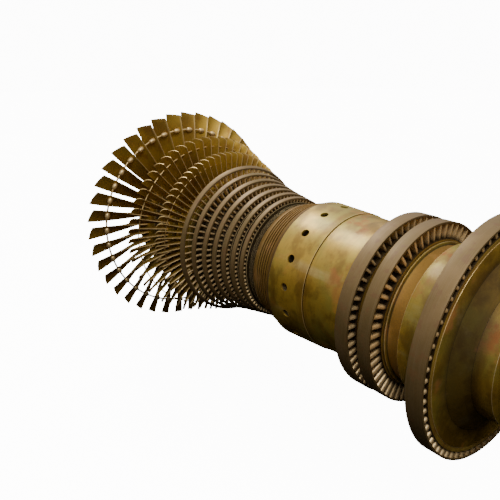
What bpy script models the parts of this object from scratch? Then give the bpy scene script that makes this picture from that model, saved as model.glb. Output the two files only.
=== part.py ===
"""Steam turbine rotor with three free-standing rows, seven drum rows and three wheel rows.

All lengths are metres. The shaft lies along +X from the exhaust end to the inlet end, +Z is up,
and the origin is the middle of the coupling's flat face.
"""
import math

import bmesh
import bpy

# Whole rotor
COLLECTION = "steam_turbine_rotor"
STEPS = 32
FIT_GAP = 0.0003
LAST_ROW_X = -4.000

# Coupling on the inlet end: its flat face is at x = 0
COUPLING_RADIUS = 0.260
COUPLING_THICKNESS = 0.085
COUPLING_HUB_RADIUS = 0.178
COUPLING_LENGTH = 0.190
COUPLING_BOLT_HOLES = 12
COUPLING_BOLT_HOLE_RADIUS = 0.021
COUPLING_BOLT_CIRCLE_RADIUS = 0.218
CHAMFER = 0.004

# Inlet end between the last wheel and the coupling
INLET_HUB_RADIUS = 0.330
INLET_HUB_END_X = -1.250
INLET_SEAL_X = (-1.220, -0.800)
INLET_SEAL_RADIUS = 0.215
INLET_SEAL_RIDGE_X = (-1.080, -0.940)
INLET_SEAL_RIDGE_RADIUS = 0.228
INLET_JOURNAL_RADIUS = 0.140
THRUST_COLLAR_RADIUS = 0.210
THRUST_COLLAR_X = (-0.330, -0.270)
SHAFT_SEAT_RADIUS = 0.125

# Exhaust end beyond the last row
EXHAUST_END_X = -4.620
EXHAUST_JOURNAL_X = (-4.600, -4.330)
EXHAUST_END_RADIUS = 0.098
EXHAUST_JOURNAL_RADIUS = 0.110
EXHAUST_SEAL_RADIUS = 0.135

# Body between the discs of the free-standing rows
LP_BODY_RADIUS = 0.275

# Drum under the seven shrouded rows
DRUM_GROOVE_DEPTH = 0.034
SHROUD_THICKNESS = 0.010

# Ridged seal between drum rows and smooth drum
SEAL_START_X = 1.290
SEAL_END_X = 1.487
SEAL_START_RADIUS = 0.353
SEAL_END_RADIUS = 0.405
SEAL_GROOVES = 5
SEAL_FIRST_GROOVE_X = 1.337
SEAL_GROOVE_PITCH = 0.0252
SEAL_GROOVE_WIDTH = 0.009
SEAL_GROOVE_DEPTH = 0.012
DARK_GROOVE_RADIUS = 0.320

# Smooth drums
FIRST_DRUM_X = (1.487, 1.742)
FIRST_DRUM_RADII = (0.409, 0.397)
SECOND_DRUM_X = (1.742, 2.016)
SECOND_DRUM_RADII = (0.3915, 0.376)
THIRD_DRUM_X = (2.335, 2.500)
THIRD_DRUM_RADII = (0.384, 0.395)
BALANCE_HOLES = 16
BALANCE_HOLE_X = 1.610
BALANCE_HOLE_RADIUS = 0.0225
BALANCE_HOLE_DEPTH = 0.060
BALANCE_HOLE_FIRST_ANGLE = 84.74

# Free-standing rows, from the exhaust end. Each station of a blade is
# (radius, far x, near x, sideways reach, bow, thickness); x counts from the last row's far tip corner.
LAST_ROW = {
    "node": "last_stage_blades",
    "count": 39,
    "first_angle": 86.55,
    "rim": (-0.050, 0.125),
    "rim_radius": 0.375,
    "ring_depth": 0.034,
    "tip_drop": 0.020,
    "stations": (
        (0.360, -0.040, 0.092, 0.026, 0.026, 0.024),
        (0.530, -0.025, 0.078, 0.062, 0.020, 0.014),
        (0.680, -0.012, 0.058, 0.087, 0.012, 0.009),
        (0.800, 0.000, 0.042, 0.0965, 0.006, 0.005),
    ),
}
THIRD_ROW = {
    "node": "third_row_blades",
    "count": 58,
    "first_angle": 104.15,
    "rim": (0.284, 0.404),
    "rim_radius": 0.385,
    "ring_depth": 0.030,
    "tip_drop": 0.020,
    "stations": (
        (0.372, 0.296, 0.392, 0.015, 0.018, 0.018),
        (0.520, 0.308, 0.388, 0.034, 0.014, 0.011),
        (0.655, 0.324, 0.381, 0.0456, 0.010, 0.006),
    ),
}
SECOND_ROW = {
    "node": "second_row_blades",
    "count": 72,
    "first_angle": 108.885,
    "rim": (0.502, 0.612),
    "rim_radius": 0.387,
    "ring_depth": 0.028,
    "tip_drop": 0.015,
    "stations": (
        (0.375, 0.516, 0.598, 0.013, 0.014, 0.014),
        (0.573, 0.540, 0.588, 0.0346, 0.008, 0.006),
    ),
}
FREE_ROWS = (LAST_ROW, THIRD_ROW, SECOND_ROW)

# Drum rows: (far x, near x, shroud radius at the far edge, at the near edge, root radius)
DRUM_ROWS = (
    (0.738, 0.763, 0.505, 0.4926, 0.403),
    (0.816, 0.841, 0.469, 0.4607, 0.392),
    (0.897, 0.922, 0.4445, 0.4355, 0.383),
    (0.975, 1.003, 0.425, 0.4185, 0.375),
    (1.052, 1.080, 0.410, 0.4038, 0.368),
    (1.127, 1.153, 0.397, 0.3916, 0.361),
    (1.198, 1.223, 0.385, 0.380, 0.353),
)

# Wheel rows: (node, blades, far x, near x, outer shroud radius, root radius, sideways reach)
WHEEL_ROWS = (
    ("first_wheel", 58, 2.038, 2.115, 0.467, 0.398, 0.012),
    ("second_wheel", 56, 2.172, 2.242, 0.463, 0.378, 0.014),
    ("control_wheel", 70, 2.517, 2.600, 0.572, 0.533, 0.010),
)
WHEEL_BLADE_SHARE = 0.36
WHEEL_RING_DEPTH = 0.022

# Bare metal shades of the pieces: colour, metal share, roughness
STEEL_BODY = ((0.35, 0.27, 0.12), 1.0, 0.32)
STEEL_BLADE = ((0.28, 0.21, 0.10), 1.0, 0.42)
STEEL_SHROUD = ((0.48, 0.37, 0.24), 1.0, 0.45)
STEEL_COUPLING = ((0.33, 0.29, 0.22), 1.0, 0.38)


def clear_scene():
    """Remove every object of the opening scene."""
    for item in list(bpy.data.objects):
        bpy.data.objects.remove(item, do_unlink=True)


def new_collection(name):
    """Make a collection under the scene's own."""
    group = bpy.data.collections.new(name)
    bpy.context.scene.collection.children.link(group)
    return group


def new_material(name, shade):
    """Make a Principled material from (colour, metal share, roughness)."""
    colour, metal, roughness = shade
    material = bpy.data.materials.new(name)
    material.use_nodes = True
    shader = material.node_tree.nodes["Principled BSDF"]
    shader.inputs["Base Color"].default_value = (*colour, 1.0)
    shader.inputs["Metallic"].default_value = metal
    shader.inputs["Roughness"].default_value = roughness
    return material


def add_object(name, mesh, group, shade=None):
    """Link a mesh as a named object, with its own material when a shade is given."""
    item = bpy.data.objects.new(name, mesh)
    group.objects.link(item)
    if shade:
        mesh.materials.append(new_material(name + "_metal", shade))
    return item


def smooth(item, angle=35.0):
    """Shade an object smooth with sharp edges kept."""
    bpy.context.view_layer.objects.active = item
    item.select_set(True)
    bpy.ops.object.shade_smooth()
    item.data.set_sharp_from_angle(angle=math.radians(angle))
    item.select_set(False)


def turned(name, outline, group, shade=None, closed=False, steps=STEPS):
    """Turn an outline of (x, radius) points about the shaft; the outer side runs from high x to low x."""
    mesh = bpy.data.meshes.new(name)
    points = [(radius, 0.0, along) for along, radius in outline]
    edges = [(index, index + 1) for index in range(len(points) - 1)]
    if closed:
        edges.append((len(points) - 1, 0))
    mesh.from_pydata(points, edges, [])
    item = add_object(name, mesh, group, shade)
    item.rotation_euler = (0.0, math.radians(90.0), 0.0)
    screw = item.modifiers.new("turn", "SCREW")
    screw.axis = "Z"
    screw.angle = math.tau
    screw.steps = steps
    screw.render_steps = steps
    screw.use_merge_vertices = True
    screw.merge_threshold = 0.00005
    screw.use_smooth_shade = True
    return item


def ring(name, far_x, near_x, inner, outer, group, shade=None, taper=0.0):
    """Turn a plain ring; taper widens the far edge."""
    outline = [
        (near_x, outer),
        (far_x, outer + taper),
        (far_x, inner),
        (near_x, inner),
    ]
    return turned(name, outline, group, shade, closed=True)


def boolean(item, other, operation):
    """Join or cut one object with another."""
    modifier = item.modifiers.new(operation.lower() + "_" + other.name, "BOOLEAN")
    modifier.operation = operation
    modifier.object = other
    modifier.solver = "EXACT"


def as_cutter(item):
    """Hide an object that only shapes others."""
    item.hide_render = True
    item.display_type = "WIRE"
    return item


def on_rotor(along, radius, angle):
    """Give the point at a distance along the shaft, a radius and an angle in radians."""
    return (along, radius * math.cos(angle), radius * math.sin(angle))


def mesh_of(name, points, faces):
    """Build a mesh whose faces all look outward."""
    mesh = bpy.data.meshes.new(name)
    mesh.from_pydata(points, [], faces)
    shape = bmesh.new()
    shape.from_mesh(mesh)
    bmesh.ops.recalc_face_normals(shape, faces=shape.faces)
    shape.to_mesh(mesh)
    shape.free()
    return mesh


def blade_section(row, station, last, angle):
    """Give the four corners of one blade section: near edge, crown side, far edge, hollow side."""
    radius, far_x, near_x, reach, bow, thickness = station
    drop = row["tip_drop"] if last else 0.0
    start = LAST_ROW_X
    chord = math.hypot(near_x - far_x, reach)
    across_x = reach / chord
    across_s = (near_x - far_x) / chord
    middle_x = (far_x + near_x) / 2.0
    middle_r = radius - drop / 2.0
    corners = []
    corners.append((start + near_x, radius - drop, -reach / 2.0))
    crown = bow + thickness / 2.0
    corners.append((start + middle_x - across_x * crown, middle_r, -across_s * crown))
    corners.append((start + far_x, radius, reach / 2.0))
    hollow = bow - thickness / 2.0
    corners.append((start + middle_x - across_x * hollow, middle_r, -across_s * hollow))
    return [on_rotor(x, r, angle + side / r) for x, r, side in corners]


def free_blades(row, group):
    """Loft every blade of a free-standing row; both sides split alike, so a thin blade never meets itself."""
    points = []
    faces = []
    stations = row["stations"]
    for index in range(row["count"]):
        angle = math.radians(row["first_angle"]) + math.tau * index / row["count"]
        base = len(points)
        for level, station in enumerate(stations):
            last = level == len(stations) - 1
            points.extend(blade_section(row, station, last, angle))
        for level in range(len(stations) - 1):
            low = base + 4 * level
            for side in range(4):
                after = (side + 1) % 4
                if side < 2:
                    faces.append((low + side, low + after, low + 4 + after))
                    faces.append((low + side, low + 4 + after, low + 4 + side))
                else:
                    faces.append((low + side, low + after, low + 4 + side))
                    faces.append((low + after, low + 4 + after, low + 4 + side))
        for first in (base, base + 4 * (len(stations) - 1)):
            faces.append((first, first + 1, first + 3))
            faces.append((first + 1, first + 2, first + 3))
    return as_cutter(add_object(row["node"] + "_loft", mesh_of(row["node"], points, faces), group))


def free_row(row, group, cutters):
    """Make a free-standing row: the root ring with its blades, one solid."""
    far_x = LAST_ROW_X + row["rim"][0] + FIT_GAP
    near_x = LAST_ROW_X + row["rim"][1] - FIT_GAP
    inner = row["rim_radius"] - row["ring_depth"] + FIT_GAP
    item = ring(row["node"], far_x, near_x, inner, row["rim_radius"], group, STEEL_BLADE)
    boolean(item, free_blades(row, cutters), "UNION")
    return item


def drum_row(index, group):
    """Make one drum row: the blade ring and the shroud around it."""
    far_x, near_x, far_radius, near_radius, root = DRUM_ROWS[index]
    far_x += LAST_ROW_X
    near_x += LAST_ROW_X
    inner = near_radius - SHROUD_THICKNESS
    taper = far_radius - near_radius
    number = index + 1
    blades = (far_x + 0.002, near_x - 0.002, root + FIT_GAP, inner - FIT_GAP)
    ring(f"drum_row_{number}_blades", *blades, group, STEEL_BLADE)
    ring(f"drum_row_{number}_shroud", far_x, near_x, inner, near_radius, group, STEEL_SHROUD, taper)


def wheel_row(values, group):
    """Make one wheel row: a toothed ring of slanting blades, and the shroud around it."""
    name, count, far_x, near_x, outer, root, reach = values
    far_x += LAST_ROW_X
    near_x += LAST_ROW_X
    shroud_inner = outer - SHROUD_THICKNESS
    tip = shroud_inner * math.cos(math.pi / STEPS) - FIT_GAP
    foot = (root - WHEEL_RING_DEPTH + FIT_GAP) / math.cos(math.pi / count)
    pitch = math.tau / count
    half = pitch * WHEEL_BLADE_SHARE / 2.0
    points = []
    for index in range(count):
        middle = pitch * index
        for along, shift in ((near_x - 0.003, -reach / 2.0), (far_x + 0.003, reach / 2.0)):
            lean = middle + shift / root
            for radius in (foot, root, tip):
                points.append(on_rotor(along, radius, lean - half))
                points.append(on_rotor(along, radius, lean + half))
    faces = []
    size = 12
    for index in range(count):
        here = size * index
        after = size * ((index + 1) % count)
        for side in (0, 6):
            faces.append((here + side, here + side + 1, here + side + 3, here + side + 2))
            faces.append((here + side + 2, here + side + 3, here + side + 5, here + side + 4))
            faces.append((here + side + 1, after + side, after + side + 2, here + side + 3))
        faces.append((here, here + 1, here + 7, here + 6))
        faces.append((here + 1, after, after + 6, here + 7))
        faces.append((here + 3, after + 2, after + 8, here + 9))
        faces.append((here + 4, here + 5, here + 11, here + 10))
        faces.append((here + 2, here + 4, here + 10, here + 8))
        faces.append((here + 3, here + 5, here + 11, here + 9))
    item = add_object(name + "_blades", mesh_of(name, points, faces), group, STEEL_BLADE)
    ring(name + "_shroud", far_x, near_x, shroud_inner, outer, group, STEEL_SHROUD)
    return item


def exhaust_end_outline():
    """Outline the shaft from its exhaust end to the last row's disc, low x to high x."""
    return [
        (EXHAUST_END_X, 0.0),
        (EXHAUST_END_X, EXHAUST_END_RADIUS),
        (EXHAUST_JOURNAL_X[0], EXHAUST_JOURNAL_RADIUS),
        (EXHAUST_JOURNAL_X[1], EXHAUST_JOURNAL_RADIUS),
        (EXHAUST_JOURNAL_X[1] + 0.006, EXHAUST_SEAL_RADIUS),
        (LAST_ROW_X + LAST_ROW["rim"][0] - 0.060, EXHAUST_SEAL_RADIUS),
        (LAST_ROW_X + LAST_ROW["rim"][0] - 0.030, 0.190),
    ]


def disc_outline(row):
    """Outline one disc under a free-standing row."""
    far_x = LAST_ROW_X + row["rim"][0]
    near_x = LAST_ROW_X + row["rim"][1]
    rim = row["rim_radius"] - row["ring_depth"]
    return [
        (far_x - 0.010, LP_BODY_RADIUS),
        (far_x, rim),
        (near_x, rim),
        (near_x + 0.010, LP_BODY_RADIUS),
    ]


def drum_outline():
    """Outline the drum with one rim for each shrouded row."""
    points = []
    for index, (far_x, near_x, _, _, root) in enumerate(DRUM_ROWS):
        low = root - DRUM_GROOVE_DEPTH
        if index == 0:
            points.append((LAST_ROW_X + far_x - 0.004, LP_BODY_RADIUS))
        else:
            points.append((LAST_ROW_X + far_x - 0.001, low))
        points.append((LAST_ROW_X + far_x - 0.001, root))
        points.append((LAST_ROW_X + near_x + 0.003, root))
        if index < len(DRUM_ROWS) - 1:
            points.append((LAST_ROW_X + near_x + 0.003, low))
    return points


def seal_outline():
    """Outline the ridged seal behind the drum rows."""
    last_near = LAST_ROW_X + DRUM_ROWS[-1][1]
    points = [
        (last_near + 0.003, DARK_GROOVE_RADIUS),
        (LAST_ROW_X + SEAL_START_X, DARK_GROOVE_RADIUS),
    ]
    points.append((LAST_ROW_X + SEAL_START_X, SEAL_START_RADIUS))
    slope = (SEAL_END_RADIUS - SEAL_START_RADIUS) / (SEAL_END_X - SEAL_START_X)
    half = SEAL_GROOVE_WIDTH / 2.0
    for index in range(SEAL_GROOVES):
        middle = SEAL_FIRST_GROOVE_X + SEAL_GROOVE_PITCH * index
        radius = SEAL_START_RADIUS + slope * (middle - SEAL_START_X)
        for shift, depth in ((-half, 0.0), (0.0, SEAL_GROOVE_DEPTH), (half, 0.0)):
            points.append((LAST_ROW_X + middle + shift, radius + slope * shift - depth))
    return points


def smooth_drum_outline():
    """Outline the smooth drums and the discs of the wheel rows."""
    x0 = LAST_ROW_X
    points = [
        (x0 + FIRST_DRUM_X[0], SEAL_END_RADIUS),
        (x0 + FIRST_DRUM_X[0] + 0.002, FIRST_DRUM_RADII[0]),
        (x0 + FIRST_DRUM_X[1], FIRST_DRUM_RADII[1]),
        (x0 + SECOND_DRUM_X[0], SECOND_DRUM_RADII[0]),
        (x0 + SECOND_DRUM_X[1], SECOND_DRUM_RADII[1]),
    ]
    for index, (_, _, far_x, near_x, _, root, _) in enumerate(WHEEL_ROWS):
        rim = root - WHEEL_RING_DEPTH
        if index == 1:
            points.append((x0 + far_x - 0.018, 0.335))
        if index == 2:
            points.append((x0 + THIRD_DRUM_X[1], THIRD_DRUM_RADII[1]))
            points.append((x0 + far_x - 0.004, 0.440))
        points.append((x0 + far_x, rim))
        points.append((x0 + near_x, rim))
        if index == 0:
            points.append((x0 + near_x + 0.010, 0.335))
        if index == 1:
            points.append((x0 + near_x + 0.006, 0.352))
            points.append((x0 + THIRD_DRUM_X[0] - 0.016, 0.348))
            points.append((x0 + THIRD_DRUM_X[0], THIRD_DRUM_RADII[0]))
        if index == 2:
            points.append((x0 + near_x + 0.004, 0.420))
            points.append((x0 + near_x + 0.060, INLET_HUB_RADIUS))
    return points


def inlet_end_outline():
    """Outline the shaft from the last wheel to the face of the coupling."""
    seal_far, seal_near = INLET_SEAL_X
    ridge_far, ridge_near = INLET_SEAL_RIDGE_X
    hub_end = -COUPLING_LENGTH - 0.012
    return [
        (INLET_HUB_END_X, INLET_HUB_RADIUS),
        (seal_far, INLET_SEAL_RADIUS),
        (ridge_far, INLET_SEAL_RADIUS),
        (ridge_far, INLET_SEAL_RIDGE_RADIUS),
        (ridge_near, INLET_SEAL_RIDGE_RADIUS),
        (ridge_near, INLET_SEAL_RADIUS),
        (seal_near, INLET_SEAL_RADIUS),
        (seal_near + 0.006, INLET_JOURNAL_RADIUS),
        (hub_end, INLET_JOURNAL_RADIUS),
        (hub_end, SHAFT_SEAT_RADIUS),
        (0.0, SHAFT_SEAT_RADIUS),
        (0.0, 0.0),
    ]


def balance_hole_cutter(group):
    """Make the blind radial holes of the first smooth drum as one cutter."""
    points = []
    faces = []
    sides = 8
    top = FIRST_DRUM_RADII[0] + 0.020
    bottom = FIRST_DRUM_RADII[1] - BALANCE_HOLE_DEPTH
    for index in range(BALANCE_HOLES):
        angle = math.radians(BALANCE_HOLE_FIRST_ANGLE) + math.tau * index / BALANCE_HOLES
        base = len(points)
        for height in (bottom, top):
            for side in range(sides):
                turn = math.tau * side / sides
                along = LAST_ROW_X + BALANCE_HOLE_X + BALANCE_HOLE_RADIUS * math.cos(turn)
                sideways = BALANCE_HOLE_RADIUS * math.sin(turn)
                y = height * math.cos(angle) - sideways * math.sin(angle)
                z = height * math.sin(angle) + sideways * math.cos(angle)
                points.append((along, y, z))
        for side in range(sides):
            after = (side + 1) % sides
            faces.append((base + side, base + after, base + sides + after, base + sides + side))
        faces.append(tuple(range(base, base + sides)))
        faces.append(tuple(range(base + sides, base + 2 * sides)))
    return as_cutter(add_object("balance_hole_cutter", mesh_of("balance_holes", points, faces), group))


def rotor_forging(group, cutters):
    """Make the forging: shaft, discs, drums and ridges, turned as one solid."""
    outline = exhaust_end_outline()
    for row in FREE_ROWS:
        outline.extend(disc_outline(row))
    outline.extend(drum_outline())
    outline.extend(seal_outline())
    outline.extend(smooth_drum_outline())
    outline.extend(inlet_end_outline())
    outline.reverse()
    item = turned("rotor_forging", outline, group, STEEL_BODY)
    boolean(item, balance_hole_cutter(cutters), "DIFFERENCE")
    return item


def coupling(group, cutters):
    """Make the coupling flange and hub with its bolt holes."""
    bore = SHAFT_SEAT_RADIUS + FIT_GAP
    outline = [
        (0.0, COUPLING_RADIUS - CHAMFER),
        (-CHAMFER, COUPLING_RADIUS),
        (CHAMFER - COUPLING_THICKNESS, COUPLING_RADIUS),
        (-COUPLING_THICKNESS, COUPLING_RADIUS - CHAMFER),
        (-COUPLING_THICKNESS, COUPLING_HUB_RADIUS + 0.010),
        (-COUPLING_THICKNESS - 0.010, COUPLING_HUB_RADIUS),
        (CHAMFER - COUPLING_LENGTH, COUPLING_HUB_RADIUS),
        (-COUPLING_LENGTH, COUPLING_HUB_RADIUS - CHAMFER),
        (-COUPLING_LENGTH, bore),
        (0.0, bore),
    ]
    item = turned("coupling_hub", outline, group, STEEL_COUPLING, closed=True)
    shape = bmesh.new()
    for index in range(COUPLING_BOLT_HOLES):
        angle = math.tau * (index + 0.5) / COUPLING_BOLT_HOLES
        made = bmesh.ops.create_cone(
            shape,
            cap_ends=True,
            segments=8,
            radius1=COUPLING_BOLT_HOLE_RADIUS,
            radius2=COUPLING_BOLT_HOLE_RADIUS,
            depth=COUPLING_THICKNESS * 2.0,
        )
        for corner in made["verts"]:
            x, y, z = corner.co
            across = COUPLING_BOLT_CIRCLE_RADIUS + x
            corner.co = (
                z - COUPLING_THICKNESS / 2.0,
                across * math.cos(angle) - y * math.sin(angle),
                across * math.sin(angle) + y * math.cos(angle),
            )
    mesh = bpy.data.meshes.new("bolt_holes")
    bmesh.ops.recalc_face_normals(shape, faces=shape.faces)
    shape.to_mesh(mesh)
    shape.free()
    boolean(item, as_cutter(add_object("bolt_hole_cutter", mesh, cutters)), "DIFFERENCE")
    return item


def thrust_collar(group):
    """Make the thrust collar between the inlet journal and the coupling."""
    far_x, near_x = THRUST_COLLAR_X
    bore = INLET_JOURNAL_RADIUS + FIT_GAP
    outline = [
        (near_x, THRUST_COLLAR_RADIUS - CHAMFER),
        (near_x - CHAMFER, THRUST_COLLAR_RADIUS),
        (far_x + CHAMFER, THRUST_COLLAR_RADIUS),
        (far_x, THRUST_COLLAR_RADIUS - CHAMFER),
        (far_x, bore),
        (near_x, bore),
    ]
    return turned("thrust_collar", outline, group, STEEL_COUPLING, closed=True)


def main():
    """Build the rotor."""
    clear_scene()
    group = new_collection(COLLECTION)
    cutters = new_collection("cutters")
    rotor_forging(group, cutters)
    coupling(group, cutters)
    thrust_collar(group)
    for row in FREE_ROWS:
        free_row(row, group, cutters)
    for index in range(len(DRUM_ROWS)):
        drum_row(index, group)
    for values in WHEEL_ROWS:
        wheel_row(values, group)
    bpy.context.view_layer.update()
    for item in group.objects:
        smooth(item)


main()
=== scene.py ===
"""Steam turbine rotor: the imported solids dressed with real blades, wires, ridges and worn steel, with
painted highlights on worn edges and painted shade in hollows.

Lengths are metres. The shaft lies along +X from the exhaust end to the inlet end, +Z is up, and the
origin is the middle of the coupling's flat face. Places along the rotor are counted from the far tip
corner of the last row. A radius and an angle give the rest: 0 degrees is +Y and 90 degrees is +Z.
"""

import logging
import math
from dataclasses import dataclass
from enum import Enum
from typing import Any, Optional, Union

import bmesh
import bpy
import numpy as np
from mathutils import Matrix, Vector


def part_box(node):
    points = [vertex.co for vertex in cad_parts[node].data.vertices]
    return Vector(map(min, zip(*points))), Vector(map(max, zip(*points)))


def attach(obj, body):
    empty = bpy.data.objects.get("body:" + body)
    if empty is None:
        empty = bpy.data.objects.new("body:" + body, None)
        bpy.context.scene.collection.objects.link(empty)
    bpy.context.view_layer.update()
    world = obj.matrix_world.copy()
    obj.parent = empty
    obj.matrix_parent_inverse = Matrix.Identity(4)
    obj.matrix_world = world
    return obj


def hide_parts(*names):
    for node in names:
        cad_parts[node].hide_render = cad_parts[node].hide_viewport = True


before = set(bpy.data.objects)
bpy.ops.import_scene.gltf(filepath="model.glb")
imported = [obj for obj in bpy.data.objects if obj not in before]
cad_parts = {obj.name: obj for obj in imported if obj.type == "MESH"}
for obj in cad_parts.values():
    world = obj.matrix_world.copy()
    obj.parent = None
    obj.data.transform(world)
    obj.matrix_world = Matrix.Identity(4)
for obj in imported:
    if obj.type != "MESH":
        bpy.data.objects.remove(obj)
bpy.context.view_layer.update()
LOG = logging.getLogger("rotor")

LAST_ROW_X = -4.000
AROUND = 224

Colour = tuple[float, float, float]
Point = tuple[float, float, float]
Outline = list[tuple[float, float]]
Zone = tuple[float, float, float, float]


class Slot(Enum):
    """Material slots of the record."""

    FORGING = "forged_steel"
    BLADE = "blade_steel"
    SHROUD = "shroud_steel"
    COUPLING = "coupling_steel"


class Value:
    """A number on its way through a material, with the usual operators."""

    def __init__(self, shader: "Shader", socket: bpy.types.NodeSocket) -> None:
        """Wrap an output that carries a number of a material."""
        self.shader = shader
        self.socket = socket

    def maths(self, operation: str, *others: Union["Value", float], swap: bool = False) -> "Value":
        """Add a Math node.

        Args:
            operation: the node's operation.
            others: the other numbers that it takes.
            swap: whether this value comes second.

        Returns:
            The result.
        """
        terms = [self, *others]
        if swap:
            terms.reverse()
        made = self.shader.node("ShaderNodeMath", {"operation": operation}, dict(enumerate(terms)))
        return Value(self.shader, made.outputs[0])

    def __add__(self, other: Union["Value", float]) -> "Value":
        """Add."""
        return self.maths("ADD", other)

    __radd__ = __add__

    def __sub__(self, other: Union["Value", float]) -> "Value":
        """Take away."""
        return self.maths("SUBTRACT", other)

    def __rsub__(self, other: float) -> "Value":
        """Take this away from a number."""
        return self.maths("SUBTRACT", other, swap=True)

    def __mul__(self, other: Union["Value", float]) -> "Value":
        """Multiply."""
        return self.maths("MULTIPLY", other)

    __rmul__ = __mul__

    def __pow__(self, other: float) -> "Value":
        """Raise to a power."""
        return self.maths("POWER", other)

    def most(self, other: Union["Value", float]) -> "Value":
        """Take the greater of the two."""
        return self.maths("MAXIMUM", other)

    def rise(self, low: float, high: float) -> "Value":
        """Go smoothly from 0 at low to 1 at high, or the other way round when low is the greater.

        Args:
            low: where the result is 0.
            high: where the result is 1.

        Returns:
            The smooth step.
        """
        ends = (0.0, 1.0) if low < high else (1.0, 0.0)
        inputs = {0: self, 1: min(low, high), 2: max(low, high), 3: ends[0], 4: ends[1]}
        made = self.shader.node("ShaderNodeMapRange", {"interpolation_type": "SMOOTHSTEP"}, inputs)
        return Value(self.shader, made.outputs[0])

    def within(self, zone: Zone) -> "Value":
        """Give how far this place along the shaft lies in a zone that starts, is full, fades and ends."""
        start, full, fade, stop = (LAST_ROW_X + place for place in zone)
        return self.rise(start, full) * self.rise(stop, fade)


Feed = Union[Value, float, Colour, Point, bpy.types.NodeSocket]


class Shader:
    """A material under way, with one Principled surface, or the world's surround."""

    def __init__(self, name: str, surround: bool = False) -> None:
        """Start a material or a world.

        Args:
            name: its name.
            surround: whether it is the world.
        """
        self.holder = (bpy.data.worlds if surround else bpy.data.materials).new(name)
        self.holder.use_nodes = True
        self.tree = self.holder.node_tree
        self.surface = self.tree.nodes["Background" if surround else "Principled BSDF"]
        self._place: Optional[bpy.types.NodeSocket] = None

    def node(
        self,
        kind: str,
        settings: Optional[dict[str, Any]] = None,
        inputs: Optional[dict[Union[int, str], Feed]] = None,
    ) -> bpy.types.Node:
        """Add a node of any type.

        Args:
            kind: the node's type.
            settings: its own properties, set first.
            inputs: a value or a link for each socket, by name or place.

        Returns:
            The node.
        """
        made = self.tree.nodes.new(kind)
        for name, setting in (settings or {}).items():
            setattr(made, name, setting)
        for key, feed in (inputs or {}).items():
            self.feed(made.inputs[key], feed)
        return made

    def feed(self, socket: bpy.types.NodeSocket, feed: Feed) -> None:
        """Give a socket its value or its link.

        Args:
            socket: the input.
            feed: a number, a colour, a vector, a value or another socket.
        """
        if isinstance(feed, Value):
            self.tree.links.new(feed.socket, socket)
        elif isinstance(feed, bpy.types.NodeSocket):
            self.tree.links.new(feed, socket)
        elif isinstance(feed, tuple) and socket.type == "RGBA":
            socket.default_value = (*feed, 1.0)
        else:
            socket.default_value = feed

    def place(self) -> bpy.types.NodeSocket:
        """Find the point on the rotor.

        Returns:
            The point in metres.
        """
        if self._place is None:
            self._place = self.node("ShaderNodeTexCoord").outputs["Object"]
        return self._place

    def split(self) -> tuple[Value, Value, Value]:
        """Give the three coordinates of the point on the rotor."""
        made = self.node("ShaderNodeSeparateXYZ", inputs={0: self.place()})
        return tuple(Value(self, output) for output in made.outputs)

    def radius(self) -> Value:
        """Give the point's distance from the axis."""
        _, side, height = self.split()
        return (side * side + height * height) ** 0.5

    def stretched(self, along: float, across: float) -> bpy.types.NodeSocket:
        """Scale the point along and across the shaft, for grain that runs round it or along it."""
        inputs = {0: self.place(), 1: (along, across, across)}
        return self.node("ShaderNodeVectorMath", {"operation": "MULTIPLY"}, inputs).outputs[0]

    def noise(
        self,
        scale: float,
        detail: float = 3.0,
        at: Optional[bpy.types.NodeSocket] = None,
    ) -> Value:
        """Give smooth noise of so many patches a metre, read at a point or at the place on the rotor."""
        inputs = {"Vector": at or self.place(), "Scale": scale, "Detail": detail, "Roughness": 0.55}
        return Value(self, self.node("ShaderNodeTexNoise", inputs=inputs).outputs["Fac"])

    def attribute(self) -> Value:
        """Read what each mesh keeps for its points: 1 on worn metal, painted pale as a highlight too, -1
        in a corner of painted shade.
        """
        made = self.node("ShaderNodeAttribute", {"attribute_name": "wear_light_shade"})
        return Value(self, made.outputs["Fac"])

    def wear_and_painted_light(self) -> Value:
        """Give how worn the metal is, painted pale as a highlight too."""
        return self.attribute().most(0.0)

    def cavity(self) -> Value:
        """Give how far the point lies in a hollow corner that takes painted shade."""
        return (self.attribute() * -1.0).most(0.0)

    def blend(self, share: Union[Value, float], first: Feed, second: Feed) -> bpy.types.NodeSocket:
        """Mix two colours, where the share says how much of the second shows."""
        inputs = {0: share, 6: first, 7: second}
        return self.node("ShaderNodeMix", {"data_type": "RGBA"}, inputs).outputs[2]

    def bump(self, height: Value, strength: float, depth: float) -> None:
        """Raise the surface by a height.

        Args:
            height: the height, 0 to 1.
            strength: how much of it shows.
            depth: the real depth in metres.
        """
        inputs = {"Height": height, "Strength": strength, "Distance": depth}
        made = self.node("ShaderNodeBump", inputs=inputs)
        self.feed(self.surface.inputs["Normal"], made.outputs[0])

    def dress(self, **feeds: Feed) -> Union[bpy.types.Material, bpy.types.World]:
        """Fill the surface's sockets.

        Args:
            feeds: socket names in small letters with underscores, and what each gets.

        Returns:
            The finished material or world.
        """
        for name, feed in feeds.items():
            self.feed(self.surface.inputs[name.replace("_", " ").title()], feed)
        return self.holder


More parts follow.
